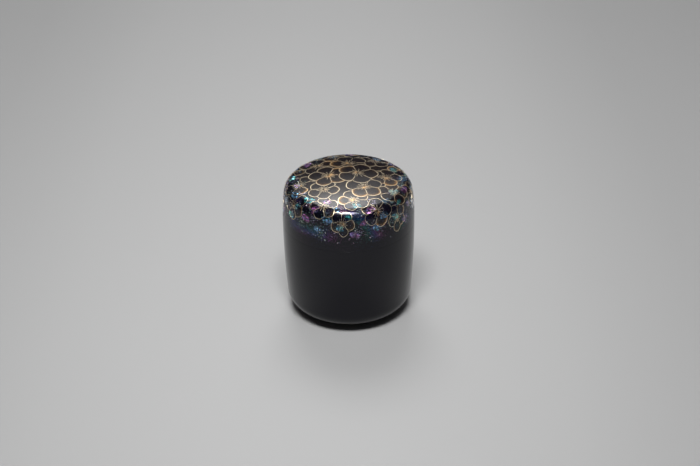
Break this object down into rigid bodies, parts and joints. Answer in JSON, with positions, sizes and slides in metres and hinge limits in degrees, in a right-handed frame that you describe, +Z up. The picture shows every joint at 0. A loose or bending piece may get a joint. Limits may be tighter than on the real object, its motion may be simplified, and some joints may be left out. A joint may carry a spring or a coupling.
{
  "type": "tea caddy",
  "caption": "Round lacquered tea caddy with a domed lift-off lid, black outside and inside, with shell chips let into the shoulder of the lid.",
  "frame": {"origin": "centre of the foot, on the surface that the caddy stands on", "axes": "+Z up along the turning axis, the way the lid lifts off; the caddy is round, and the picture is taken from the -Y side"},
  "size_m": [0.066, 0.066, 0.074],
  "materials": {
    "turned_wood": "turned, hidden under the coats",
    "black_lacquer": "polished black lacquer",
    "green_shell": "iridescent mother of pearl, green",
    "blue_shell": "iridescent mother of pearl, blue",
    "violet_shell": "iridescent mother of pearl, violet",
    "gold_powder": "gold powder lines, softly polished"
  },
  "bodies": {
    "body": {"body_core": "turned_wood", "body_outer_lacquer": "black_lacquer", "base_lacquer": "black_lacquer", "body_inner_lacquer": "black_lacquer"},
    "lid": {"lid_core": "turned_wood", "lid_outer_lacquer": "black_lacquer", "lid_inner_lacquer": "black_lacquer", "shell_chips_green": "green_shell", "shell_chips_blue": "blue_shell", "shell_chips_violet": "violet_shell"}
  },
  "joints": [
    {"name": "lid_lift", "type": "slide", "parent": "body", "child": "lid", "axis": [0, 0, 1], "range_m": [0, 0.06]}
  ]
}
